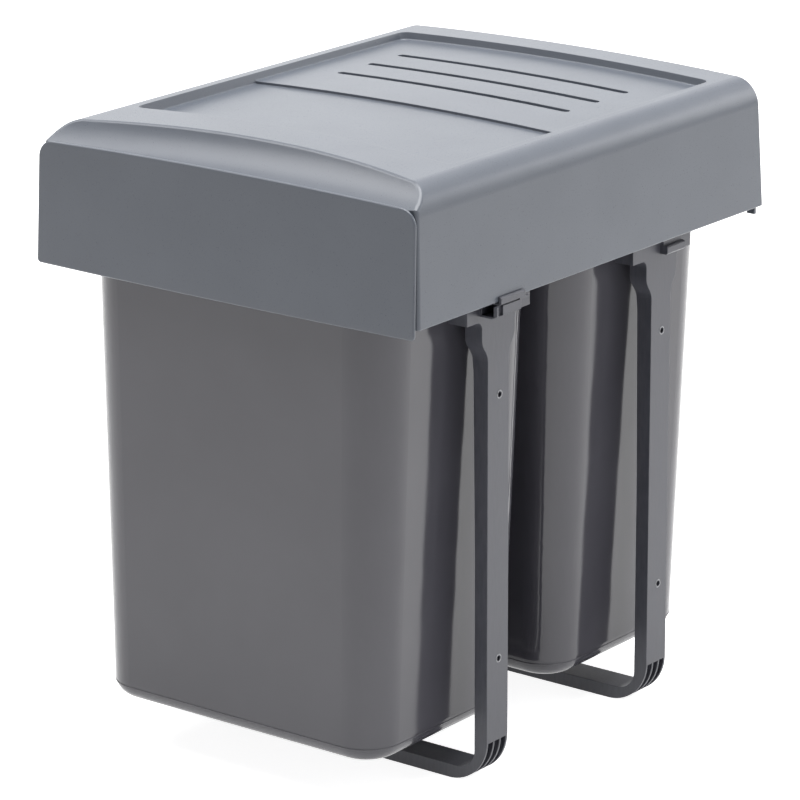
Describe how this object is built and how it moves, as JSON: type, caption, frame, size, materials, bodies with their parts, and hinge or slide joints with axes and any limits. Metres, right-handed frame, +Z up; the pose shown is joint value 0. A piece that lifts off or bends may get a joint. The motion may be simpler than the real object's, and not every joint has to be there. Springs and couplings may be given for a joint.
{
  "type": "pull out bin frame",
  "caption": "frame that stands in a base cabinet: straps carry a hood, and a carriage on ball runners slides waste bins out from under it by a front panel with a finger scoop",
  "frame": {"origin": "centre of the footprint, on the cabinet floor that the straps stand on", "axes": "+X to the right as seen from the front, +Y to the back of the cabinet, +Z up; the carriage slides along -Y"},
  "size_m": [0.3574, 0.444, 0.4768],
  "materials": {
    "hood_plastic": "satin moulded plastic with a fine grain",
    "strap_plastic": "satin moulded plastic",
    "bin_plastic": "glossy moulded polypropylene",
    "zinc_sheet": "zinc-plated folded sheet",
    "runner_steel": "zinc-plated rolled strip",
    "cage_steel": "bright pressed strip with steel balls",
    "screw_steel": "zinc-plated"
  },
  "bodies": {
    "hood_frame": {"hood_shell": "hood_plastic", "strap_front": "strap_plastic", "strap_rear": "strap_plastic", "skirt_clips": "strap_plastic", "rear_catches": "strap_plastic", "side_rail_left": "zinc_sheet", "side_rail_right": "zinc_sheet", "rear_brace": "zinc_sheet", "rail_screws": "screw_steel", "rail_rivets": "screw_steel", "runner_cabinet_left": "runner_steel", "runner_cabinet_right": "runner_steel"},
    "carriage": {"carriage_side_left": "zinc_sheet", "carriage_side_right": "zinc_sheet", "front_bar": "zinc_sheet", "middle_bar": "zinc_sheet", "rear_bar": "zinc_sheet", "runner_drawer_left": "runner_steel", "runner_drawer_right": "runner_steel", "carriage_rivets": "screw_steel", "front_panel": "hood_plastic", "panel_screws": "screw_steel", "bin_front": "bin_plastic", "bin_rear": "bin_plastic"},
    "runner_middle_left": {"runner_middle_left": "runner_steel"},
    "cage_outer_left": {"cage_outer_left": "cage_steel"},
    "cage_inner_left": {"cage_inner_left": "cage_steel"},
    "runner_middle_right": {"runner_middle_right": "runner_steel"},
    "cage_outer_right": {"cage_outer_right": "cage_steel"},
    "cage_inner_right": {"cage_inner_right": "cage_steel"}
  },
  "joints": [
    {"name": "carriage_slide", "type": "slide", "parent": "hood_frame", "child": "carriage", "axis": [0, -1, 0], "range_m": [0, 0.38]},
    {"name": "runner_middle_left_slide", "type": "slide", "parent": "hood_frame", "child": "runner_middle_left", "axis": [0, -1, 0], "range_m": [0, 0.19]},
    {"name": "cage_outer_left_slide", "type": "slide", "parent": "hood_frame", "child": "cage_outer_left", "axis": [0, -1, 0], "range_m": [0, 0.095]},
    {"name": "cage_inner_left_slide", "type": "slide", "parent": "hood_frame", "child": "cage_inner_left", "axis": [0, -1, 0], "range_m": [0, 0.285]},
    {"name": "runner_middle_right_slide", "type": "slide", "parent": "hood_frame", "child": "runner_middle_right", "axis": [0, -1, 0], "range_m": [0, 0.19]},
    {"name": "cage_outer_right_slide", "type": "slide", "parent": "hood_frame", "child": "cage_outer_right", "axis": [0, -1, 0], "range_m": [0, 0.095]},
    {"name": "cage_inner_right_slide", "type": "slide", "parent": "hood_frame", "child": "cage_inner_right", "axis": [0, -1, 0], "range_m": [0, 0.285]}
  ],
  "couplings": [
    {"joint": "runner_middle_left_slide", "follows": "carriage_slide", "ratio": 0.5},
    {"joint": "cage_outer_left_slide", "follows": "carriage_slide", "ratio": 0.25},
    {"joint": "cage_inner_left_slide", "follows": "carriage_slide", "ratio": 0.75},
    {"joint": "runner_middle_right_slide", "follows": "carriage_slide", "ratio": 0.5},
    {"joint": "cage_outer_right_slide", "follows": "carriage_slide", "ratio": 0.25},
    {"joint": "cage_inner_right_slide", "follows": "carriage_slide", "ratio": 0.75}
  ]
}
